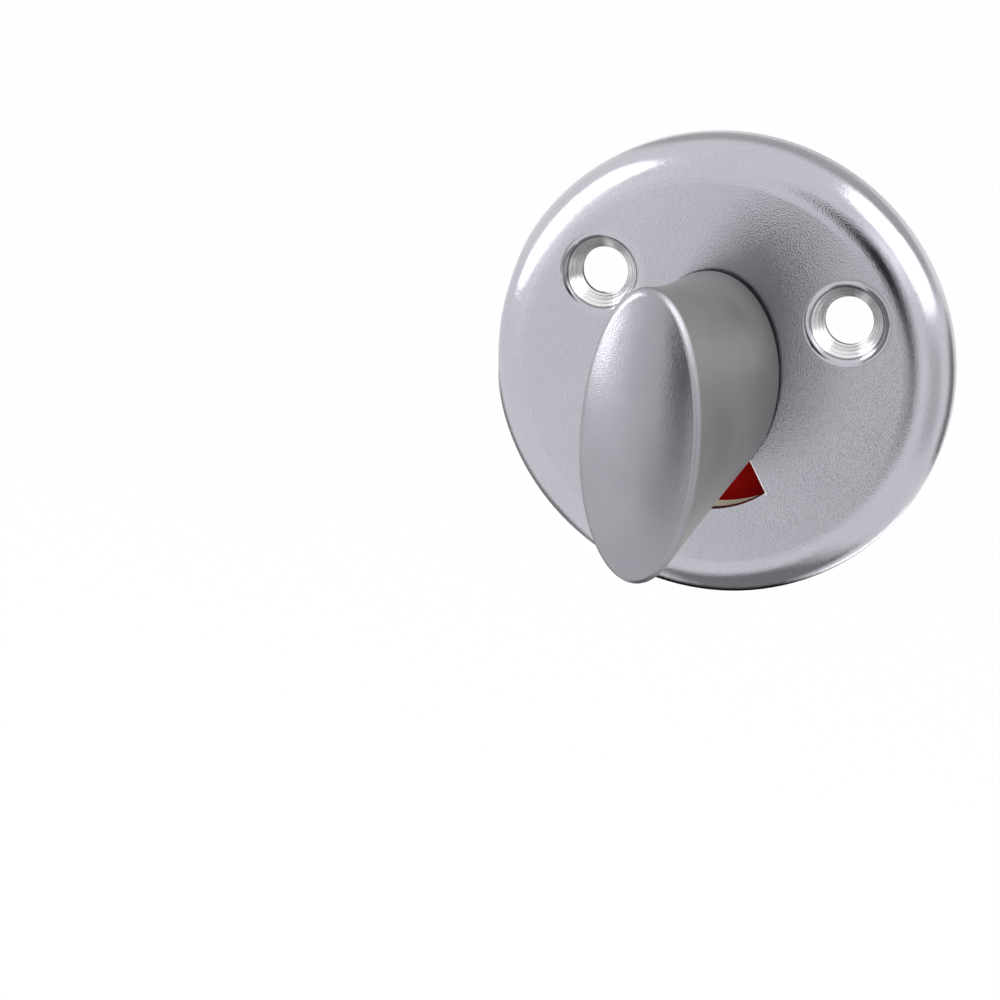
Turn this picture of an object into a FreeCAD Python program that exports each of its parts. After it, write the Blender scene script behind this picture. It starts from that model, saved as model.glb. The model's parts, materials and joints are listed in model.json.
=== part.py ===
import FreeCAD, Part
import math
import os
import Sketcher
from FreeCAD import Placement, Rotation, Vector

# Bathroom thumb turn on a pressed round rose, as fixed to a door.
# +Z is up, the rose faces -Y, and the origin is on the turning axis in the door's face.

# Driving dimensions: alias, value in millimetres or degrees, meaning
SIZES = [
    ("plate_dia", "54", "outer diameter of the rose"),
    ("plate_height", "6.5", "door face to the rose's front face"),
    ("sheet", "1.2", "thickness of the pressed sheet"),
    ("rim_radius", "5", "outer radius of the rolled rim"),
    ("screw_spacing", "28.6", "distance between the two screw holes"),
    ("screw_rise", "9.2", "height of the screw holes above the turning axis"),
    ("screw_hole_dia", "5.5", "screw hole"),
    ("seat_dia", "8.2", "sharp edge of the countersunk screw seat"),
    ("seat_drop", "0.4", "depth of that edge below the front face"),
    ("seat_roll", "0.8", "width of the rolled shoulder round the seat"),
    ("seat_depth", "1.8", "depth where the countersink meets the hole"),
    ("dimple_depth", "2.4", "depth of the pressed screw dimple"),
    ("dimple_flare", "0.9", "dimple behind the sheet, beyond the seat's edge"),
    ("dimple_wall", "0.7", "dimple's end, beyond the hole"),
    ("window_drop", "3.6", "centre of the window's two arcs below the turning axis"),
    ("window_inner", "8", "radius of the window's upper arc"),
    ("window_outer", "12.2", "radius of the window's lower arc"),
    ("window_half_angle", "36", "half the window's angle, seen from the turning axis"),
    ("neck_dia", "11.2", "turned neck of the thumb turn"),
    ("running_gap", "0.05", "radial clearance of each round fit"),
    ("bush_wall", "0.95", "wall of the bush between neck and rose"),
    ("bush_flange", "0.9", "thickness of the bush's flange"),
    ("bush_lip", "1.2", "how far the flange overlaps the rose"),
    ("base_width", "16.6", "thumb turn at its base, across"),
    ("base_length", "24.6", "thumb turn at its base, along"),
    ("waist_width", "15.8", "thumb turn at its waist, across"),
    ("waist_length", "26.4", "thumb turn at its waist, along"),
    ("waist_height", "12", "waist above the rose's front face"),
    ("head_width", "12.4", "thumb turn at its front, across"),
    ("head_length", "32.4", "thumb turn at its front, along"),
    ("projection", "30.9", "rose's front face to the top of the crown"),
    ("crown_half_depth", "17", "crown ellipsoid along the turning axis"),
    ("crown_half_width", "17", "crown ellipsoid across the thumb turn"),
    ("crown_half_length", "36", "crown ellipsoid along the thumb turn"),
    ("head_round", "1", "rounding round the crowned front"),
    ("neck_flats", "9.6", "distance across the neck's two flats"),
    ("neck_land", "0.6", "neck beyond the ring groove"),
    ("neck_chamfer", "0.3", "chamfer on the neck's end"),
    ("spindle_size", "6", "square spindle across flats"),
    ("socket_gap", "0.02", "clearance on each side of the spindle"),
    ("socket_depth", "18", "spindle's length inside the thumb turn"),
    ("spindle_reach", "45", "spindle beyond the door face"),
    ("spindle_chamfer", "0.8", "chamfer on the spindle's end"),
    ("disc_gap", "0.3", "indicator disc behind the screw dimples"),
    ("disc_thick", "0.8", "thickness of the indicator disc"),
    ("disc_margin", "1", "disc beyond the window's outer edge"),
    ("hub_wall", "3.9", "disc's hub round the neck"),
    ("disc_round", "1.5", "rounding of the disc's corners"),
    ("field_thick", "0.3", "thickness of the red field let into the disc"),
    ("field_inner", "10.2", "inner radius of the red field"),
    ("field_outer", "15.4", "outer radius of the red field"),
    ("field_angle_margin", "2", "angle by which each field outreaches the window"),
    ("turn_at_rest", "6", "lean of the thumb turn when occupied"),
    ("turn_travel", "76", "turn from occupied to vacant"),
    ("ring_thick", "1", "thickness of the retaining ring"),
    ("ring_play", "0.1", "axial play of the ring in its groove"),
    ("ring_groove", "0.4", "depth of the ring groove"),
    ("ring_wall", "1.5", "radial width of the retaining ring"),
    ("ring_lug", "1.5", "radius of the ring's two ears"),
    ("ring_eye_dia", "1.4", "plier hole in each ear"),
    ("ring_half_gap", "14", "half the opening angle of the ring"),
    ("spring_thick", "0.3", "thickness of the wave washer"),
    ("spring_width", "3", "radial width of the wave washer"),
    ("spring_bore_gap", "0.3", "wave washer's clearance round the neck"),
    ("spring_gap", "0.03", "clearance at the wave washer's crests"),
]

SPRING_WAVES = 3
SPRING_POINTS = 48
CUT_OVER = "1"
SIDES = (-1, 1)
FRONT = Vector(0, -1, 0)
BACK = Vector(0, 1, 0)
TOUCH = 1e-3

doc = FreeCAD.newDocument("thumb_turn_lock")
sheet = doc.addObject("Spreadsheet::Sheet", "sizes")
for row, (alias, value, meaning) in enumerate(SIZES, start=1):
    sheet.set(f"A{row}", meaning)
    sheet.set(f"B{row}", value)
    sheet.setAlias(f"B{row}", alias)
doc.recompute()

# Places along the turning axis, from the front towards the door
FACE = "(-sizes.plate_height)"
FACE_BACK = f"({FACE} + sizes.sheet)"
TURN_SEAT = f"({FACE} - sizes.bush_flange)"
DISC_FRONT = f"({FACE} + sizes.dimple_depth + sizes.disc_gap)"
DISC_BACK = f"({DISC_FRONT} + sizes.disc_thick)"
GROOVE_END = f"({DISC_BACK} + sizes.ring_thick + sizes.ring_play)"
NECK_END = f"({GROOVE_END} + sizes.neck_land)"
SOCKET_END = f"({NECK_END} - sizes.socket_depth)"

# Radii that several pieces share
NECK = "(sizes.neck_dia / 2)"
BUSH_BORE = f"({NECK} + sizes.running_gap)"
BUSH_OUTER = f"({BUSH_BORE} + sizes.bush_wall)"
CENTRE_HOLE = f"({BUSH_OUTER} + sizes.running_gap)"
GROOVE = f"({NECK} - sizes.ring_groove)"
DISC_HUB = f"({NECK} + sizes.hub_wall)"
DISC_OUTER = "(sizes.window_drop + sizes.window_outer + sizes.disc_margin)"

# Angles of the coloured fields, measured from the bottom of the window
FIELD_HALF = "(sizes.window_half_angle + sizes.field_angle_margin)"
FIELD_RIGHT = f"({FIELD_HALF} - sizes.turn_at_rest)"
WINDOW_SIN = "sin(sizes.window_half_angle * 1 deg)"
WINDOW_COS = "cos(sizes.window_half_angle * 1 deg)"


def number(formula):
    """Present value of a formula of the sheet's sizes."""
    return float(sheet.evalExpression(formula))


def check_document():
    """Stops when any object has failed to build."""
    doc.recompute()
    for item in doc.Objects:
        if "Invalid" in item.State or "Error" in item.State:
            raise RuntimeError(f"{item.Name} failed: {item.State}")


def bind(item, **formulas):
    """Ties properties to formulas; a double underscore stands for a dot."""
    for name, formula in formulas.items():
        item.setExpression(name.replace("__", "."), formula)


def add(kind, name, **formulas):
    """Adds a solid whose sizes follow the sheet."""
    item = doc.addObject(kind, name)
    bind(item, **formulas)
    return item


def cut(name, base, tool):
    item = doc.addObject("Part::Cut", name)
    item.Base = base
    item.Tool = tool
    return item


def fuse(name, *pieces):
    item = doc.addObject("Part::MultiFuse", name)
    item.Shapes = list(pieces)
    item.Refine = True
    return item


def axial_cylinder(name, radius, start, end, angle=None):
    """Cylinder round an axis along +Y, from one place to another; an angle makes it a sector."""
    item = add("Part::Cylinder", name, Radius=radius, Height=f"{end} - {start}")
    item.Placement = Placement(Vector(), Rotation(Vector(1, 0, 0), -90))
    bind(item, Placement__Base__y=start)
    if angle:
        bind(item, Angle=angle)
    return item


def centred_box(name, width, height, start, end, x="0"):
    """Box along the turning axis, centred on the given X and on Z zero."""
    item = add("Part::Box", name, Length=width, Width=f"{end} - {start}", Height=height)
    bind(item, Placement__Base__x=f"{x} - {width} / 2", Placement__Base__y=start)
    bind(item, Placement__Base__z=f"-{height} / 2")
    return item


def round_edges(name, base, radius, chosen):
    """Rounds the edges of a solid for which chosen says yes."""
    doc.recompute()
    item = doc.addObject("Part::Fillet", name)
    item.Base = base
    size = number(radius)
    item.Edges = [(i, size, size) for i, edge in enumerate(base.Shape.Edges, start=1) if chosen(edge)]
    return item


def finish(item, label, turned=False):
    """Names a sub-part, and leans it with the thumb turn where it turns with it."""
    item.Label = label
    if turned:
        item.Placement = Placement(Vector(), Rotation(FRONT, 1))
        bind(item, Placement__Rotation__Angle="sizes.turn_at_rest")
    return item


def origin_plane(body, role):
    return next(item for item in body.Origin.OriginFeatures if item.Role == role)


def add_sketch(body, name, role, offset=None):
    sketch = body.newObject("Sketcher::SketchObject", name)
    sketch.AttachmentSupport = (origin_plane(body, role), [""])
    sketch.MapMode = "FlatFace"
    if offset:
        bind(sketch, AttachmentOffset__Base__z=offset)
    return sketch


def drive(sketch, kind, where, formula):
    """Adds a dimension that follows a formula."""
    index = sketch.addConstraint(Sketcher.Constraint(kind, *where, number(formula)))
    sketch.setExpression(f"Constraints[{index}]", formula)


def arc_centre(start, end, radius, turn):
    """Centre of the shorter arc between two points; turn is 1 anticlockwise and -1 clockwise."""
    chord = end - start
    side = Vector(-chord.y, chord.x, 0).normalize()
    rise = math.sqrt(radius ** 2 - (chord.Length / 2) ** 2)
    return start + chord * 0.5 + side * rise * turn


def outline(sketch, corners):
    """Closed outline, dimensioned from the sketch's origin.

    A corner is its x and y formulas. One that starts an arc also has the arc's radius and turn.
    """
    points = [Vector(number(corner[0]), number(corner[1]), 0) for corner in corners]
    ends = []
    for corner, start, end in zip(corners, points, points[1:] + points[:1]):
        if len(corner) == 2:
            edge = sketch.addGeometry(Part.LineSegment(start, end))
            ends.append(((edge, 1), (edge, 2)))
            continue
        radius, turn = corner[2:]
        circle = Part.Circle(arc_centre(start, end, number(radius), turn), Vector(0, 0, 1), number(radius))
        first, last = (start, end) if turn > 0 else (end, start)
        arc = Part.ArcOfCircle(circle, circle.parameter(first), circle.parameter(last))
        edge = sketch.addGeometry(arc)
        ends.append(((edge, 1), (edge, 2)) if turn > 0 else ((edge, 2), (edge, 1)))
        drive(sketch, "Radius", (edge,), radius)
    for corner, before, after in zip(corners, ends[-1:] + ends[:-1], ends):
        sketch.addConstraint(Sketcher.Constraint("Coincident", *before[1], *after[0]))
        drive(sketch, "DistanceX", (-1, 1, *after[0]), corner[0])
        drive(sketch, "DistanceY", (-1, 1, *after[0]), corner[1])


def spin(body, name, kind, sketch, axis="V_Axis"):
    """Revolution or Groove of a sketch round one of its axes."""
    item = body.newObject(f"PartDesign::{kind}", name)
    item.Profile = sketch
    item.ReferenceAxis = (sketch, [axis])
    item.Angle = 360
    doc.recompute()
    return item


def rose_plate():
    """Pressed round shell with a rolled rim, two countersunk dimples and an arc window."""
    body = doc.addObject("PartDesign::Body", "rose_plate")
    outer = "(sizes.plate_dia / 2)"
    flat = f"({outer} - sizes.rim_radius)"
    skirt = f"({FACE} + sizes.rim_radius)"
    inside = f"({outer} - sizes.sheet)"
    shell = add_sketch(body, "shell_profile", "XY_Plane")
    outline(shell, [
        (CENTRE_HOLE, FACE),
        (flat, FACE, "sizes.rim_radius", 1),
        (outer, skirt),
        (outer, "0"),
        (inside, "0"),
        (inside, skirt, "sizes.rim_radius - sizes.sheet", -1),
        (flat, FACE_BACK),
        (CENTRE_HOLE, FACE_BACK),
    ])
    spin(body, "shell", "Revolution", shell)

    axis = "sizes.screw_spacing / 2"
    hole = f"{axis} + sizes.screw_hole_dia / 2"
    seat = f"{axis} + sizes.seat_dia / 2"
    shoulder = f"{seat} + sizes.seat_roll"
    dimple_end = f"{FACE} + sizes.dimple_depth"
    dimple = add_sketch(body, "dimple_profile", "XY_Plane", "sizes.screw_rise")
    outline(dimple, [
        (axis, f"{FACE} + sizes.sheet / 2"),
        (f"{seat} + sizes.dimple_flare", f"{FACE} + sizes.sheet / 2"),
        (f"{seat} + sizes.dimple_flare", FACE_BACK),
        (f"{hole} + sizes.dimple_wall", dimple_end),
        (axis, dimple_end),
    ])
    dimple_axis(dimple, axis)
    pressed = spin(body, "dimple", "Revolution", dimple, "Axis0")
    countersink = add_sketch(body, "seat_profile", "XY_Plane", "sizes.screw_rise")
    roll_radius = "(sizes.seat_roll ^ 2 + sizes.seat_drop ^ 2) / (2 * sizes.seat_drop)"
    outline(countersink, [
        (axis, f"{FACE} - {CUT_OVER}"),
        (shoulder, f"{FACE} - {CUT_OVER}"),
        (shoulder, FACE, roll_radius, -1),
        (seat, f"{FACE} + sizes.seat_drop"),
        (hole, f"{FACE} + sizes.seat_depth"),
        (hole, f"{dimple_end} + {CUT_OVER}"),
        (axis, f"{dimple_end} + {CUT_OVER}"),
    ])
    dimple_axis(countersink, axis)
    seated = spin(body, "seat", "Groove", countersink, "Axis0")
    mirrored = body.newObject("PartDesign::Mirrored", "second_seat")
    mirrored.Originals = [pressed, seated]
    mirrored.MirrorPlane = (origin_plane(body, "YZ_Plane"), [""])
    body.Tip = mirrored
    doc.recompute()
    before = body.Shape.Volume

    window = add_sketch(body, "window_outline", "XZ_Plane", "sizes.plate_height")
    far = end_reach("sizes.window_outer")
    near = end_reach("sizes.window_inner")
    outline(window, [
        (f"-{far} * {WINDOW_SIN}", f"-{far} * {WINDOW_COS}", "sizes.window_outer", 1),
        (f"{far} * {WINDOW_SIN}", f"-{far} * {WINDOW_COS}"),
        (f"{near} * {WINDOW_SIN}", f"-{near} * {WINDOW_COS}", "sizes.window_inner", -1),
        (f"-{near} * {WINDOW_SIN}", f"-{near} * {WINDOW_COS}"),
    ])
    pocket = body.newObject("PartDesign::Pocket", "window")
    pocket.Profile = window
    bind(pocket, Length=f"sizes.sheet + {CUT_OVER}")
    body.Tip = pocket
    doc.recompute()
    if body.Shape.Volume >= before:
        raise RuntimeError("the window cut nothing")
    return finish(body, "rose_plate")


def end_reach(radius):
    """Distance from the turning axis to where an arc of the window meets its radial end."""
    aside = f"sizes.window_drop * {WINDOW_SIN}"
    return f"(sizes.window_drop * {WINDOW_COS} + sqrt({radius} ^ 2 - ({aside}) ^ 2))"


def dimple_axis(sketch, axis):
    """Construction line along a screw's axis."""
    line = Part.LineSegment(Vector(number(axis), 0, 0), Vector(number(axis), number(FACE), 0))
    edge = sketch.addGeometry(line, True)
    for end, place in ((1, "0"), (2, FACE)):
        drive(sketch, "DistanceX", (-1, 1, edge, end), axis)
        drive(sketch, "DistanceY", (-1, 1, edge, end), place)


def bearing_bush():
    """Flanged sleeve that lines the rose's centre hole."""
    body = doc.addObject("PartDesign::Body", "bearing_bush")
    flange = f"{BUSH_OUTER} + sizes.bush_lip"
    profile = add_sketch(body, "bush_profile", "XY_Plane")
    outline(profile, [
        (BUSH_BORE, TURN_SEAT),
        (flange, TURN_SEAT),
        (flange, FACE),
        (BUSH_OUTER, FACE),
        (BUSH_OUTER, FACE_BACK),
        (BUSH_BORE, FACE_BACK),
    ])
    spin(body, "bush", "Revolution", profile)
    return finish(body, "bearing_bush")


def head_section(name, width, length, height):
    """Oval cross-section of the thumb turn, at a height above the rose's front face."""
    oval = add("Part::Ellipse", name, MajorRadius=f"{length} / 2", MinorRadius=f"{width} / 2")
    long_side_up = Rotation(Vector(0, 0, 1), Vector(1, 0, 0), Vector(0, 1, 0), "ZXY")
    oval.Placement = Placement(Vector(), long_side_up)
    bind(oval, Placement__Base__y=f"{FACE} - {height}")
    return oval


def thumb_turn():
    """Cast grip on a turned neck, with flats for the disc, a ring groove and a square socket."""
    head = doc.addObject("Part::Loft", "head_loft")
    head.Sections = [
        head_section("base_oval", "sizes.base_width", "sizes.base_length", "sizes.bush_flange"),
        head_section("waist_oval", "sizes.waist_width", "sizes.waist_length", "sizes.waist_height"),
        head_section("front_oval", "sizes.head_width", "sizes.head_length", "sizes.projection"),
    ]
    head.Solid = True
    crown = add(
        "Part::Ellipsoid",
        "crown",
        Radius1="sizes.crown_half_length",
        Radius2="sizes.crown_half_width",
        Radius3="sizes.crown_half_depth",
        Placement__Base__y=f"{FACE} - sizes.projection + sizes.crown_half_depth",
    )
    crowned = doc.addObject("Part::Common", "crowned_head")
    crowned.Base = head
    crowned.Tool = crown
    waist = number(f"{FACE} - sizes.waist_height")
    grip = round_edges("grip", crowned, "sizes.head_round", lambda edge: edge.BoundBox.YMax < waist)

    neck = doc.addObject("PartDesign::Body", "neck")
    profile = add_sketch(neck, "neck_profile", "XY_Plane")
    chamfered = f"{NECK} - sizes.neck_chamfer"
    outline(profile, [
        ("0", f"{TURN_SEAT} - {CUT_OVER}"),
        (NECK, f"{TURN_SEAT} - {CUT_OVER}"),
        (NECK, DISC_BACK),
        (GROOVE, DISC_BACK),
        (GROOVE, GROOVE_END),
        (NECK, GROOVE_END),
        (NECK, f"{NECK_END} - sizes.neck_chamfer"),
        (chamfered, NECK_END),
        ("0", NECK_END),
    ])
    spin(neck, "turned_neck", "Revolution", profile)
    casting = fuse("casting", grip, neck)
    reach = f"{NECK_END} + {CUT_OVER}"
    for side in SIDES:
        beside = f"{side} * (sizes.neck_flats + sizes.neck_dia) / 2"
        flat = centred_box("neck_flat", "sizes.neck_dia", "sizes.neck_dia * 2", DISC_FRONT, reach, beside)
        casting = cut("flatted_casting", casting, flat)
    socket_size = "(sizes.spindle_size + 2 * sizes.socket_gap)"
    socket = centred_box("socket", socket_size, socket_size, SOCKET_END, reach)
    return finish(cut("socketed_casting", casting, socket), "thumb_turn", turned=True)


def spindle():
    """Square bar from the thumb turn's socket through the door."""
    bar = centred_box("bar", "sizes.spindle_size", "sizes.spindle_size", SOCKET_END, "sizes.spindle_reach")
    doc.recompute()
    item = doc.addObject("Part::Chamfer", "chamfered_bar")
    item.Base = bar
    size = number("sizes.spindle_chamfer")
    far_end = number("sizes.spindle_reach") - TOUCH
    item.Edges = [
        (i, size, size) for i, edge in enumerate(bar.Shape.Edges, start=1) if edge.BoundBox.YMin > far_end
    ]
    return finish(item, "spindle", turned=True)


def ring_sector(name, inner, outer, start, end, right, span):
    """Part of a ring, from an angle right of the bottom and onwards to the left."""
    sector = axial_cylinder(f"{name}_sector", outer, start, end, span)
    bore = axial_cylinder(f"{name}_bore", inner, f"({start} - {CUT_OVER})", f"({end} + {CUT_OVER})")
    ring = cut(f"{name}_ring", sector, bore)
    ring.Placement = Placement(Vector(), Rotation(BACK, 1))
    bind(ring, Placement__Rotation__Angle=f"90 - ({right})")
    return ring


def indicator_disc():
    """White disc keyed to the neck: a hub and a sector that carries both fields."""
    hub = axial_cylinder("hub", DISC_HUB, DISC_FRONT, DISC_BACK)
    span = f"2 * {FIELD_HALF} + sizes.turn_travel"
    blade = ring_sector("blade", NECK, DISC_OUTER, DISC_FRONT, DISC_BACK, FIELD_RIGHT, span)
    blank = fuse("disc_blank", hub, blade)

    def is_corner(edge):
        box = edge.BoundBox
        upright = max(box.XLength, box.ZLength) < TOUCH
        return upright and len(blank.Shape.ancestorsOfType(edge, Part.Face)) == 2

    rounded = round_edges("rounded_disc", blank, "sizes.disc_round", is_corner)
    before = f"({DISC_FRONT} - {CUT_OVER})"
    behind = f"({DISC_BACK} + {CUT_OVER})"
    round_bore = axial_cylinder("disc_bore", BUSH_BORE, before, behind)
    between_flats = "(sizes.neck_flats + 2 * sizes.running_gap)"
    flats = centred_box("disc_flats", between_flats, "sizes.neck_dia * 2", before, behind)
    key = doc.addObject("Part::Common", "disc_key")
    key.Base = round_bore
    key.Tool = flats
    bored = cut("bored_disc", rounded, key)
    recess = red_sector("recess", before, FIELD_RIGHT)
    return finish(cut("recessed_disc", bored, recess), "indicator_disc", turned=True)


def red_sector(name, start, right):
    """Sector of the red field, from the given place to the floor of its recess."""
    floor = f"({DISC_FRONT} + sizes.field_thick)"
    span = f"2 * {FIELD_HALF}"
    return ring_sector(name, "sizes.field_inner", "sizes.field_outer", start, floor, right, span)


def occupied_field():
    """Red field let into the disc, flush with its front."""
    return finish(red_sector("field", DISC_FRONT, FIELD_HALF), "occupied_field")


def retaining_ring():
    """Open spring ring with two ears, seated in the neck's groove."""
    start = f"({DISC_BACK} + sizes.ring_play / 2)"
    end = f"({start} + sizes.ring_thick)"
    below = f"({start} - {CUT_OVER})"
    above = f"({end} + {CUT_OVER})"
    ring_outer = f"({GROOVE} + sizes.ring_wall)"
    ear_angle = f"(sizes.ring_half_gap * 1 deg + asin(sizes.ring_lug / {ring_outer}))"
    band = axial_cylinder("band", ring_outer, start, end)
    ears = [axial_cylinder("ear", "sizes.ring_lug", start, end) for side in SIDES]
    eyes = [axial_cylinder("eye", "sizes.ring_eye_dia / 2", below, above) for side in SIDES]
    for pair in (ears, eyes):
        for side, item in zip(SIDES, pair):
            bind(item, Placement__Base__x=f"{side} * {ring_outer} * sin({ear_angle})")
            bind(item, Placement__Base__z=f"-{ring_outer} * cos({ear_angle})")
    blank = fuse("ring_blank", band, *ears)
    bore = axial_cylinder("ring_bore", GROOVE, below, above)
    opening = ring_sector("opening", f"{GROOVE} / 2", f"({ring_outer} + 2 * sizes.ring_lug)", below, above,
                          "sizes.ring_half_gap", "2 * sizes.ring_half_gap")
    ring = blank
    for tool in (bore, opening, *eyes):
        ring = cut("ring_cut", ring, tool)
    return finish(ring, "retaining_ring", turned=True)


def spring_washer():
    """Wave washer between the rose and the disc: two wavy edges, ruled and thickened."""
    front = number(f"{FACE_BACK} + sizes.spring_gap")
    height = number(f"{DISC_FRONT} - {FACE_BACK} - 2 * sizes.spring_gap - sizes.spring_thick")
    inner = number(f"{NECK} + sizes.spring_bore_gap")
    edges = []
    for radius in (inner, inner + number("sizes.spring_width")):
        points = []
        for step in range(SPRING_POINTS):
            angle = 2 * math.pi * step / SPRING_POINTS
            wave = front + height * (1 + math.cos(SPRING_WAVES * angle)) / 2
            points.append(Vector(radius * math.cos(angle), wave, radius * math.sin(angle)))
        curve = Part.BSplineCurve()
        curve.interpolate(points, PeriodicFlag=True)
        edges.append(curve.toShape())
    washer = doc.addObject("Part::Feature", "spring_washer")
    strip = Part.makeRuledSurface(*edges)
    washer.Shape = strip.extrude(Vector(0, number("sizes.spring_thick"), 0))
    return finish(washer, "spring_washer", turned=True)


parts = [
    rose_plate(),
    bearing_bush(),
    thumb_turn(),
    spindle(),
    indicator_disc(),
    occupied_field(),
    retaining_ring(),
    spring_washer(),
]
check_document()
for part in parts:
    if part.Shape.isNull() or not part.Shape.isValid() or len(part.Shape.Solids) != 1:
        raise RuntimeError(f"{part.Label} is not one sound solid")

os.makedirs("parts", exist_ok=True)
for part in parts:
    part.Shape.exportStep(f"parts/{part.Label}.step")
    print(f"{part.Label}: {part.Shape.Volume:.1f} mm3")
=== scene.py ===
import bpy
import json
import math
from mathutils import Matrix, Vector


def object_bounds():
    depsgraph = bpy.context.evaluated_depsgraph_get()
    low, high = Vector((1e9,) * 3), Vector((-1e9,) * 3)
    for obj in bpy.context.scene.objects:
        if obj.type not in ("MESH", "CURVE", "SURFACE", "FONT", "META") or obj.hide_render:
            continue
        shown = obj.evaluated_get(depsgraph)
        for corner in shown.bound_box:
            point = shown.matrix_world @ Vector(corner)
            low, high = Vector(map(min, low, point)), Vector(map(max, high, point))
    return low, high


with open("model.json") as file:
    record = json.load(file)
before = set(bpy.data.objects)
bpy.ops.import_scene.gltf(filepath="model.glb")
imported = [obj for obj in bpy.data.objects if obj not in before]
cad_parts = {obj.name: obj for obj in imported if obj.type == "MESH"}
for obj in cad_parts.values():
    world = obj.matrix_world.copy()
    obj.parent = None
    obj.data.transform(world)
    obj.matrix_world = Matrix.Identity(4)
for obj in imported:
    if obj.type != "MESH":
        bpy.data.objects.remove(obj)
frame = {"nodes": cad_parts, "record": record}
cad_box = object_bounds()
nodes = frame["nodes"]
mounts = {mount["name"]: mount for mount in frame["record"]["mounts"]}

# Places on the rose, in metres. It faces -Y, and +Z is up.
MM = 0.001
SCREWS = mounts["fixing_screws"]
SCREW_HALF_SPACING = SCREWS["dims"]["spacing_x_mm"] * MM / 2
SCREW_RISE = SCREWS["pos_m"][2]
SCREW_HOLE = SCREWS["dims"]["hole_r_mm"] * MM
SEAT_EDGE = SCREW_HOLE + 1.35 * MM
SEAT_SHOULDER = SEAT_EDGE + 0.8 * MM
CUT_REACH = 24 * MM
WINDOW_HALF_ANGLE = math.radians(36)
WINDOW_MIDDLE = 12.8 * MM

# Soft edges of the marks on the rose: where each one starts, and where it is full
SEAT_FADE = SEAT_EDGE + 0.05 * MM, SEAT_EDGE - 0.05 * MM
BURNISHED_FADE = SEAT_SHOULDER + 0.5 * MM, SEAT_SHOULDER - 0.1 * MM
# Ring of painted shade in the crease at the seat's edge
CREASE_SHADE_FADE = 0.12 * MM, 0.04 * MM
CUT_WALL_FACING = 0.5, 0.3
# Width and length of the painted highlight along the window's ends
EDGE_HIGHLIGHT_WIDTH = 0.16 * MM, 0.06 * MM
EDGE_HIGHLIGHT_LENGTH = 2.5 * MM, 2.2 * MM

# Rose finish. A pair of tones or roughnesses is the clear one and the clouded one.
ROSE_TONES = (0.52, 0.52, 0.575, 1), (0.56, 0.56, 0.61, 1)
SPECK_TONE = (0.36, 0.36, 0.4, 1)
SPECK_SHARE = 0.25
SEAT_TONE = (0.84, 0.84, 0.86, 1)
# Dark ring at the seat's edge: painted shade in the crease
CREASE_SHADE_TONE = (0.24, 0.24, 0.25, 1)
# Near-white painted highlight along the window's ends
EDGE_HIGHLIGHT_TONE = (0.98, 0.98, 0.98, 1)
# Near-black painted shade on the cut walls of the holes and window
CUT_WALL_SHADE_TONE = (0.005, 0.005, 0.005, 1)
ROSE_ROUGHNESS = 0.15, 0.18
SEAT_ADDED_ROUGHNESS = 0.08
ROSE_GRAIN = 0.15 * MM
ROSE_GRAIN_DEPTH = 0.015 * MM
ROSE_HAZE = 14 * MM
RING_PITCH = 0.35 * MM
RING_DEPTH = 0.05 * MM

# Casting finish. The crown's shading is swelled and slanted to that of a fuller dome.
TURN_LEAN = math.radians(6)
CROWN_FACING = -0.45, -0.93
# Normal range where the lighter, bluer painted front tone takes over
LIT_FRONT_FACING = -0.1, -0.6
CROWN_SWELL = (0.6, 0, 0.3)
CROWN_SLANT = (-0.1, 0, 0.05)
# Painted light: the front's tones are lighter and bluer as light and reflection, and the sides' tones darker
# as shade
SHADED_SIDE_TONES = (0.285, 0.285, 0.285, 1), (0.31, 0.31, 0.31, 1)
LIT_FRONT_TONES = (0.335, 0.337, 0.372, 1), (0.365, 0.367, 0.402, 1)
SIDE_ROUGHNESS = 0.48
CROWN_ROUGHNESS = 0.29
CASTING_CLOUDING = 0.04
CASTING_GRAIN = 0.16 * MM
CASTING_GRAIN_DEPTH = 0.01 * MM
CASTING_HAZE = 9 * MM
BRUSH_PITCH = 0.18 * MM
BRUSH_DEPTH = 0.012 * MM
BRUSH_STRETCH = (1, 1, 0.03)

# Plastics and steels
NYLON_TONES = (0.02, 0.02, 0.022, 1), (0.035, 0.035, 0.037, 1)
WHITE_TONES = (0.78, 0.7, 0.56, 1), (0.7, 0.61, 0.47, 1)
RED_TONES = (0.37, 0.001, 0.001, 1), (0.31, 0.001, 0.001, 1)
PLASTIC_GRAIN = 0.3 * MM
PLASTIC_GRAIN_DEPTH = 0.008 * MM
PLASTIC_HAZE = 6 * MM
PLASTIC_CLOUDING = 0.12
SPRING_TONES = (0.2, 0.2, 0.21, 1), (0.14, 0.135, 0.13, 1)
ZINC_TONES = (0.6, 0.6, 0.6, 1), (0.5, 0.51, 0.54, 1)
STEEL_GRAIN = 0.2 * MM
STEEL_GRAIN_DEPTH = 0.01 * MM
STEEL_HAZE = 4 * MM
STEEL_CLOUDING = 0.15

# Shared effects: large grains among fine ones, and the noise range that counts
COARSE_SHARE = 0.15
COARSE_FINENESS = 0.37
MIDDLE_RANGE = 0.3, 0.7

# Camera: it aims at a point of the door's face, left of and below the rose
CAMERA_AIM = Vector((-24.4, 0, -22.8)) * MM
CAMERA_DISTANCE = 270 * MM
CAMERA_AZIMUTH = math.radians(16.6)
CAMERA_ELEVATION = math.radians(19.2)
CAMERA_ROLL = math.radians(7.9)
CAMERA_LENS = 79.2
CAMERA_SENSOR = 36

# Studio
FLOOR_DROP = 130 * MM
FLOOR_SIZE = 6
FLOOR_WHITE = (0.95, 0.95, 0.95, 1)
FLOOR_GLOW = 0.97
WHITE = (1, 1, 1, 1)
AMBIENT = 0.7

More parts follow.
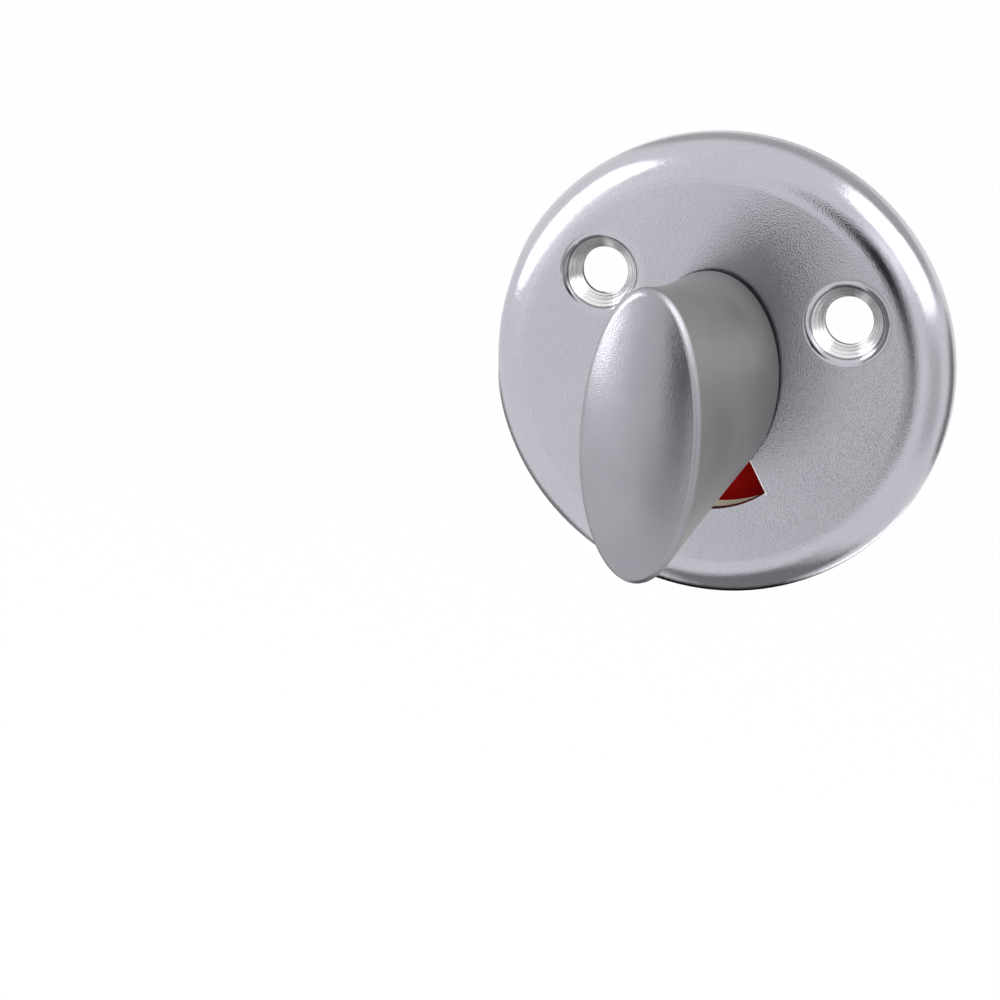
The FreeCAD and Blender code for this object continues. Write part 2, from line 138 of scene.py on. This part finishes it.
# Softboxes: name, way (right, up, forward), distance, width, height, power and colour
SOFTBOXES = (
    ("left_softbox", (-0.89, 0.34, 0.34), 0.5, 0.2, 0.34, 1.5, (1, 1, 1)),
    ("right_softbox", (0.72, 0.68, -0.04), 0.5, 0.36, 0.36, 1.4, (1, 0.98, 0.95)),
)

# Cards that the metal reflects: name, way (right, up, forward), distance, width, height and grey
STUDIO_CARDS = (
    ("crest_card", (-0.82, 0.19, 0.54), 0.45, 0.09, 0.14, 2.4),
    ("fill_card", (-0.66, 0.08, 0.75), 0.4, 0.15, 0.2, 1.2),
    ("camera_card", (0.34, 0.26, 0.9), 0.3, 0.152, 0.152, 0.02),
    ("shoulder_card", (0.61, 0.54, 0.58), 0.4, 0.12, 0.12, 1.7),
    ("streak_card", (0.38, -0.09, 0.92), 0.31, 0.1, 0.12, 0.25),
    ("front_card", (0.1, -0.4, 0.91), 0.4, 0.22, 0.22, 0.52),
    ("low_card", (0.16, -0.98, 0.06), 0.137, 0.13, 0.1, 0.28),
    ("low_dark_card", (-0.05, -0.765, -0.64), 0.146, 0.08, 0.12, 0.01),
    ("low_left_card", (-0.55, -0.63, -0.54), 0.18, 0.1, 0.11, 0.28),
    ("right_card", (0.6, -0.28, -0.75), 0.39, 0.22, 0.3, 0.27),
    ("crease_card", (0.94, -0.25, 0.2), 0.4, 0.24, 0.4, 0.7),
    ("corner_card", (0.35, -0.66, -0.66), 0.14, 0.024, 0.05, 2.2),
    ("left_card", (-0.66, -0.22, -0.72), 0.31, 0.15, 0.08, 2.2),
    ("back_card", (0.1, 0.65, -0.75), 0.4, 0.7, 0.36, 0.58),
)

# Sockets of a Mix node that blends colours, whose names repeat
MIX_FACTOR = 0
MIX_FIRST = 6
MIX_SECOND = 7
MIX_RESULT = 2


def feed(tree, socket, value):
    """Links a socket to another one, or sets its value."""
    if isinstance(value, bpy.types.NodeSocket):
        tree.links.new(value, socket)
    else:
        socket.default_value = value


def add(tree, kind, inputs=None, **settings):
    """Adds a shader node with its settings and inputs."""
    item = tree.nodes.new(kind)
    for name, value in settings.items():
        setattr(item, name, value)
    for name, value in (inputs or {}).items():
        feed(tree, item.inputs[name], value)
    return item


def maths(tree, operation, *values):
    """Result of one sum of numbers."""
    item = add(tree, "ShaderNodeMath", operation=operation)
    for socket, value in zip(item.inputs, values):
        feed(tree, socket, value)
    return item.outputs["Value"]


def vectors(tree, operation, *values):
    """Result of one sum of vectors."""
    item = add(tree, "ShaderNodeVectorMath", operation=operation)
    for socket, value in zip(item.inputs, values):
        feed(tree, socket, value)
    return item.outputs["Vector"]


def part_of(tree, vector, axis):
    """One of a vector's three numbers."""
    return add(tree, "ShaderNodeSeparateXYZ", {"Vector": vector}).outputs[axis]


def noise(tree, vector, scale, detail):
    """Cloudy pattern from 0 to 1."""
    item = add(tree, "ShaderNodeTexNoise", {"Vector": vector, "Scale": scale, "Detail": detail})
    return item.outputs["Fac"]


def ramp(tree, value, low, high, start=0.0, end=1.0):
    """Value carried smoothly from one range to another."""
    inputs = {"Value": value, "From Min": low, "From Max": high, "To Min": start, "To Max": end}
    return add(tree, "ShaderNodeMapRange", inputs, interpolation_type="SMOOTHSTEP").outputs["Result"]


def blend(tree, factor, start, end):
    """Number between two ends, by a mask."""
    return ramp(tree, factor, 0.0, 1.0, start, end)


def blend_colour(tree, factor, first, second):
    """Colour between two others, by a mask."""
    item = add(tree, "ShaderNodeMix", data_type="RGBA")
    feed(tree, item.inputs[MIX_FACTOR], factor)
    feed(tree, item.inputs[MIX_FIRST], first)
    feed(tree, item.inputs[MIX_SECOND], second)
    return item.outputs[MIX_RESULT]


def bump(tree, height, depth, below=None):
    """Normal of a relief, on top of another normal if one is given."""
    item = add(tree, "ShaderNodeBump", {"Height": height, "Distance": depth, "Strength": 1.0})
    if below:
        feed(tree, item.inputs["Normal"], below)
    return item.outputs["Normal"]


def start_group(name, inputs, outputs):
    """Empty shader node group with named sockets."""
    tree = bpy.data.node_groups.new(name, "ShaderNodeTree")
    for label, kind, value in inputs:
        socket = tree.interface.new_socket(label, in_out="INPUT", socket_type=kind)
        if value is not None:
            socket.default_value = value
    for label in outputs:
        tree.interface.new_socket(label, in_out="OUTPUT", socket_type="NodeSocketFloat")
    return tree, tree.nodes.new("NodeGroupInput").outputs, tree.nodes.new("NodeGroupOutput").inputs


def blasted_grain():
    """Fine matt grain: round grains of a given size with larger ones strewn among them."""
    tree, given, result = start_group(
        "blasted_grain",
        [("Vector", "NodeSocketVector", None), ("Size", "NodeSocketFloat", ROSE_GRAIN)],
        ["Height", "Speckle"],
    )
    fineness = maths(tree, "DIVIDE", 1.0, given["Size"])
    grains = add(tree, "ShaderNodeTexVoronoi", {"Vector": given["Vector"], "Scale": fineness})
    fine = maths(tree, "MULTIPLY", grains.outputs["Distance"], 1 - COARSE_SHARE)
    lumps = noise(tree, given["Vector"], maths(tree, "MULTIPLY", fineness, COARSE_FINENESS), 1.0)
    coarse = maths(tree, "MULTIPLY", lumps, COARSE_SHARE)
    height = maths(tree, "ADD", fine, coarse)
    feed(tree, result["Height"], height)
    feed(tree, result["Speckle"], ramp(tree, height, *MIDDLE_RANGE))
    return tree


def long_brushing():
    """Fine lines along Z, as left by a satin belt."""
    tree, given, result = start_group(
        "long_brushing",
        [("Vector", "NodeSocketVector", None), ("Pitch", "NodeSocketFloat", BRUSH_PITCH)],
        ["Height"],
    )
    stretched = add(tree, "ShaderNodeMapping", {"Vector": given["Vector"], "Scale": BRUSH_STRETCH})
    lines = noise(tree, stretched.outputs["Vector"], maths(tree, "DIVIDE", 1.0, given["Pitch"]), 2.0)
    feed(tree, result["Height"], lines)
    return tree


def soft_haze():
    """Slow cloudy change of gloss and tone, as on a handled metal."""
    tree, given, result = start_group(
        "soft_haze",
        [("Vector", "NodeSocketVector", None), ("Size", "NodeSocketFloat", ROSE_HAZE)],
        ["Cloud"],
    )
    cloud = noise(tree, given["Vector"], maths(tree, "DIVIDE", 1.0, given["Size"]), 3.0)
    feed(tree, result["Cloud"], ramp(tree, cloud, *MIDDLE_RANGE))
    return tree


def turned_rings():
    """Lathe marks: ridges at a pitch along a radius, uneven from ring to ring."""
    tree, given, result = start_group(
        "turned_rings",
        [("Radius", "NodeSocketFloat", 0.0), ("Pitch", "NodeSocketFloat", RING_PITCH)],
        ["Height"],
    )
    turns = maths(tree, "DIVIDE", given["Radius"], given["Pitch"])
    rings = add(tree, "ShaderNodeTexNoise", {"W": turns, "Scale": 1.0, "Detail": 2.0}, noise_dimensions="1D")
    feed(tree, result["Height"], rings.outputs["Fac"])
    return tree


GROUPS = {make.__name__: make() for make in (blasted_grain, long_brushing, soft_haze, turned_rings)}


def use(tree, group, **inputs):
    """Places a shared effect in a material and gives back its outputs."""
    return add(tree, "ShaderNodeGroup", inputs, node_tree=GROUPS[group]).outputs


def new_material(name):
    """Material with its shader's sockets, and the piece's own coordinates and normal."""
    material = bpy.data.materials.new(name)
    material.use_nodes = True
    tree = material.node_tree
    own = add(tree, "ShaderNodeTexCoord").outputs
    return material, tree, tree.nodes["Principled BSDF"].inputs, own


def distance_from_screw(tree, aside, rise):
    """Distance in the rose's face from the nearer screw hole's middle."""
    across = maths(tree, "SUBTRACT", aside, SCREW_HALF_SPACING)
    above = maths(tree, "SUBTRACT", rise, SCREW_RISE)
    across_square = maths(tree, "MULTIPLY", across, across)
    above_square = maths(tree, "MULTIPLY", above, above)
    return maths(tree, "SQRT", maths(tree, "ADD", across_square, above_square))


def distance_from_axis(tree, place):
    """Distance in the rose's face from the spindle's axis."""
    flat = vectors(tree, "MULTIPLY", place, (1, 0, 1))
    return add(tree, "ShaderNodeVectorMath", {0: flat}, operation="LENGTH").outputs["Value"]


def cut_wall_shade_mask(tree, normal, reach):
    """1 on the walls of the rose's holes and window, which are painted near-black as shade."""
    sideways = ramp(tree, maths(tree, "ABSOLUTE", part_of(tree, normal, "Y")), *CUT_WALL_FACING)
    return maths(tree, "MULTIPLY", sideways, maths(tree, "LESS_THAN", reach, CUT_REACH))


def window_edge_highlight_mask(tree, aside, rise, reach):
    """1 on a thin line along each end of the window, where a near-white painted highlight goes."""
    turned_aside = maths(tree, "MULTIPLY", aside, math.cos(WINDOW_HALF_ANGLE))
    turned_rise = maths(tree, "MULTIPLY", rise, math.sin(WINDOW_HALF_ANGLE))
    off_end = maths(tree, "ABSOLUTE", maths(tree, "ADD", turned_aside, turned_rise))
    off_middle = maths(tree, "ABSOLUTE", maths(tree, "SUBTRACT", reach, WINDOW_MIDDLE))
    line = maths(tree, "MULTIPLY", ramp(tree, off_end, *EDGE_HIGHLIGHT_WIDTH), ramp(tree, off_middle, *EDGE_HIGHLIGHT_LENGTH))
    return maths(tree, "MULTIPLY", line, maths(tree, "LESS_THAN", rise, 0.0))


def satin_rose():
    """Pressed aluminium with a fine blasted grain and bright turned screw seats."""
    material, tree, shader, own = new_material("satin_rose_finish")
    place = own["Object"]
    aside = maths(tree, "ABSOLUTE", part_of(tree, place, "X"))
    rise = part_of(tree, place, "Z")
    reach = distance_from_axis(tree, place)
    from_screw = distance_from_screw(tree, aside, rise)
    seat = ramp(tree, from_screw, *SEAT_FADE)
    burnished = ramp(tree, from_screw, *BURNISHED_FADE)
    off_crease = maths(tree, "ABSOLUTE", maths(tree, "SUBTRACT", from_screw, SEAT_EDGE))
    crease_shade = ramp(tree, off_crease, *CREASE_SHADE_FADE)
    edge_highlight = window_edge_highlight_mask(tree, aside, rise, reach)
    cut_wall_shade = cut_wall_shade_mask(tree, own["Normal"], reach)

    grain = use(tree, "blasted_grain", Vector=place, Size=ROSE_GRAIN)
    haze = use(tree, "soft_haze", Vector=place, Size=ROSE_HAZE)
    rings = use(tree, "turned_rings", Radius=from_screw, Pitch=RING_PITCH)

    tone = blend_colour(tree, haze["Cloud"], *ROSE_TONES)
    specks = maths(tree, "MULTIPLY", grain["Speckle"], SPECK_SHARE)
    speckled = blend_colour(tree, specks, tone, SPECK_TONE)
    seated = blend_colour(tree, seat, speckled, SEAT_TONE)
    # Painted shade in the crease around each screw seat
    crease_shaded = blend_colour(tree, crease_shade, seated, CREASE_SHADE_TONE)
    # Painted highlight along the window's ends
    edge_highlighted = blend_colour(tree, edge_highlight, crease_shaded, EDGE_HIGHLIGHT_TONE)
    # Painted shade on the cut walls
    feed(tree, shader["Base Color"], blend_colour(tree, cut_wall_shade, edge_highlighted, CUT_WALL_SHADE_TONE))

    matt = blend(tree, haze["Cloud"], *ROSE_ROUGHNESS)
    on_seat = maths(tree, "MULTIPLY", seat, SEAT_ADDED_ROUGHNESS)
    feed(tree, shader["Roughness"], maths(tree, "ADD", matt, on_seat))
    shader["Metallic"].default_value = 1.0

    off_seat = maths(tree, "SUBTRACT", 1.0, burnished)
    blasted = bump(tree, maths(tree, "MULTIPLY", grain["Height"], off_seat), ROSE_GRAIN_DEPTH)
    turned = bump(tree, maths(tree, "MULTIPLY", rings["Height"], seat), RING_DEPTH, blasted)
    feed(tree, shader["Normal"], turned)
    return material


def crowned_normal(tree, normal, crown):
    """World normal of the grip, with the crown's share of it swelled and slanted."""
    swelled = vectors(tree, "MULTIPLY_ADD", normal, CROWN_SWELL, CROWN_SLANT)
    share = add(tree, "ShaderNodeVectorMath", {0: swelled, "Scale": crown}, operation="SCALE")
    shaped = vectors(tree, "ADD", normal, share.outputs["Vector"])
    turned = add(tree, "ShaderNodeVectorTransform", {"Vector": shaped},
                 vector_type="NORMAL", convert_from="OBJECT", convert_to="WORLD")
    return turned.outputs["Vector"]


def satin_casting():
    """Zinc casting with a satin finish, brushed along the grip, glossier on its front. Its front's tone is
    painted lighter and bluer as light and reflection, and its sides' tone darker as shade.
    """
    material, tree, shader, own = new_material("satin_casting_finish")
    place = own["Object"]
    upright = add(tree, "ShaderNodeMapping", {"Vector": place, "Rotation": (0, -TURN_LEAN, 0)})
    brush = use(tree, "long_brushing", Vector=upright.outputs["Vector"], Pitch=BRUSH_PITCH)
    grain = use(tree, "blasted_grain", Vector=place, Size=CASTING_GRAIN)
    haze = use(tree, "soft_haze", Vector=place, Size=CASTING_HAZE)
    forward = part_of(tree, own["Normal"], "Y")
    crown = ramp(tree, forward, *CROWN_FACING)
    lit_front_share = ramp(tree, forward, *LIT_FRONT_FACING)

    # Painted light and shade: darker sides, lighter and bluer front
    side = blend_colour(tree, haze["Cloud"], *SHADED_SIDE_TONES)
    front = blend_colour(tree, haze["Cloud"], *LIT_FRONT_TONES)
    feed(tree, shader["Base Color"], blend_colour(tree, lit_front_share, side, front))

    matt = blend(tree, crown, SIDE_ROUGHNESS, CROWN_ROUGHNESS)
    clouded = blend(tree, haze["Cloud"], 0.0, CASTING_CLOUDING)
    feed(tree, shader["Roughness"], maths(tree, "ADD", matt, clouded))
    shader["Metallic"].default_value = 1.0

    crowned = crowned_normal(tree, own["Normal"], crown)
    blasted = bump(tree, grain["Height"], CASTING_GRAIN_DEPTH, crowned)
    feed(tree, shader["Normal"], bump(tree, brush["Height"], BRUSH_DEPTH, blasted))
    return material


def moulded_plastic(name, tones, roughness, shine):
    """Moulded plastic with a fine spark grain."""
    material, tree, shader, own = new_material(name)
    grain = use(tree, "blasted_grain", Vector=own["Object"], Size=PLASTIC_GRAIN)
    haze = use(tree, "soft_haze", Vector=own["Object"], Size=PLASTIC_HAZE)
    feed(tree, shader["Base Color"], blend_colour(tree, haze["Cloud"], *tones))
    feed(tree, shader["Roughness"], blend(tree, haze["Cloud"], roughness, roughness + PLASTIC_CLOUDING))
    shader["Specular IOR Level"].default_value = shine
    feed(tree, shader["Normal"], bump(tree, grain["Height"], PLASTIC_GRAIN_DEPTH))
    return material


def plated_steel(name, tones, roughness):
    """Drawn or stamped steel with a cloudy plating and a fine matt grain."""
    material, tree, shader, own = new_material(name)
    grain = use(tree, "blasted_grain", Vector=own["Object"], Size=STEEL_GRAIN)
    haze = use(tree, "soft_haze", Vector=own["Object"], Size=STEEL_HAZE)
    feed(tree, shader["Base Color"], blend_colour(tree, haze["Cloud"], *tones))
    feed(tree, shader["Roughness"], blend(tree, haze["Cloud"], roughness, roughness + STEEL_CLOUDING))
    shader["Metallic"].default_value = 1.0
    feed(tree, shader["Normal"], bump(tree, grain["Height"], STEEL_GRAIN_DEPTH))
    return material


def finish_node(name, material):
    """Gives a CAD node its finish."""
    for slot in nodes[name].material_slots:
        slot.material = material


finish_node("rose_plate", satin_rose())
finish_node("thumb_turn", satin_casting())
finish_node("bearing_bush", moulded_plastic("black_nylon_finish", NYLON_TONES, roughness=0.45, shine=0.5))
finish_node("indicator_disc", moulded_plastic("white_plastic_finish", WHITE_TONES, roughness=0.5, shine=0.4))
finish_node("occupied_field", moulded_plastic("red_plastic_finish", RED_TONES, roughness=0.55, shine=0.05))
spring_steel = plated_steel("spring_steel_finish", SPRING_TONES, roughness=0.32)
finish_node("retaining_ring", spring_steel)
finish_node("spring_washer", spring_steel)
finish_node("spindle", plated_steel("zinc_steel_finish", ZINC_TONES, roughness=0.28))


def studio_place(way, distance):
    """Place on a way out from the rose, as seen from in front of it, and the turn that faces the rose."""
    right, up, forward = way
    place = Vector((right, -forward, up)).normalized() * distance
    return place, (-place).to_track_quat("-Z", "Y").to_euler()


def softbox(name, way, distance, width, height, power, colour):
    """Area lamp that faces the rose."""
    place, turn = studio_place(way, distance)
    bpy.ops.object.light_add(type="AREA", location=place, rotation=turn)
    lamp = bpy.context.object
    lamp.name = name
    lamp.data.shape = "RECTANGLE"
    lamp.data.size = width
    lamp.data.size_y = height
    lamp.data.energy = power
    lamp.data.color = colour


def shaderless_material(name):
    """Material without its usual shader: its nodes, and the socket for another one."""
    material = bpy.data.materials.new(name)
    material.use_nodes = True
    tree = material.node_tree
    tree.nodes.remove(tree.nodes["Principled BSDF"])
    return material, tree, tree.nodes["Material Output"].inputs["Surface"]


def studio_card(name, way, distance, width, height, grey):
    """Grey card out of the picture, which only the metal's reflections show."""
    place, turn = studio_place(way, distance)
    bpy.ops.mesh.primitive_plane_add(size=1, location=place, rotation=turn)
    card = bpy.context.object
    card.name = name
    card.scale = (width, height, 1)
    material, tree, surface = shaderless_material(name + "_paint")
    paint = add(tree, "ShaderNodeEmission", {"Color": (grey, grey, grey, 1), "Strength": 1.0})
    feed(tree, surface, paint.outputs["Emission"])
    card.data.materials.append(material)
    card.visible_camera = False
    card.visible_diffuse = False
    card.visible_shadow = False


def seen_rays(tree):
    """1 for rays that show the background: from the camera, in metal and through glass."""
    path = add(tree, "ShaderNodeLightPath").outputs
    seen = maths(tree, "MAXIMUM", path["Is Camera Ray"], path["Is Glossy Ray"])
    return maths(tree, "MAXIMUM", seen, path["Is Transmission Ray"])


def white_world():
    """White behind the object, and a plain soft light all round."""
    world = bpy.data.worlds.new("studio")
    bpy.context.scene.world = world
    world.use_nodes = True
    tree = world.node_tree
    background = tree.nodes["Background"].inputs
    background["Color"].default_value = WHITE
    feed(tree, background["Strength"], blend(tree, seen_rays(tree), AMBIENT, 1.0))


def pale_floor():
    """Floor under the rose, white to the camera apart from a faint shadow."""
    height = cad_box[0].z - FLOOR_DROP
    bpy.ops.mesh.primitive_plane_add(size=FLOOR_SIZE, location=(0, 0, height))
    floor = bpy.context.object
    floor.name = "pale_floor"
    material, tree, surface = shaderless_material("floor_white")
    matt = add(tree, "ShaderNodeBsdfDiffuse", {"Color": FLOOR_WHITE})
    glow = add(tree, "ShaderNodeEmission", {"Color": WHITE, "Strength": 1.0})
    glow_share = maths(tree, "MULTIPLY", seen_rays(tree), FLOOR_GLOW)
    inputs = {"Fac": glow_share, 1: matt.outputs["BSDF"], 2: glow.outputs["Emission"]}
    feed(tree, surface, add(tree, "ShaderNodeMixShader", inputs).outputs["Shader"])
    floor.data.materials.append(material)


def photo_camera():
    """Camera at the photograph's angle."""
    back = Vector((
        math.sin(CAMERA_AZIMUTH) * math.cos(CAMERA_ELEVATION),
        -math.cos(CAMERA_AZIMUTH) * math.cos(CAMERA_ELEVATION),
        math.sin(CAMERA_ELEVATION),
    ))
    turned = back.to_track_quat("Z", "Y").to_matrix() @ Matrix.Rotation(CAMERA_ROLL, 3, "Z")
    bpy.ops.object.camera_add(location=CAMERA_AIM + back * CAMERA_DISTANCE, rotation=turned.to_euler())
    camera = bpy.context.object
    camera.data.lens = CAMERA_LENS
    camera.data.sensor_width = CAMERA_SENSOR
    camera.data.clip_start = 1 * MM
    bpy.context.scene.camera = camera


white_world()
pale_floor()
for box in SOFTBOXES:
    softbox(*box)
for card in STUDIO_CARDS:
    studio_card(*card)
photo_camera()

scene = bpy.context.scene
scene.view_settings.view_transform = "Standard"
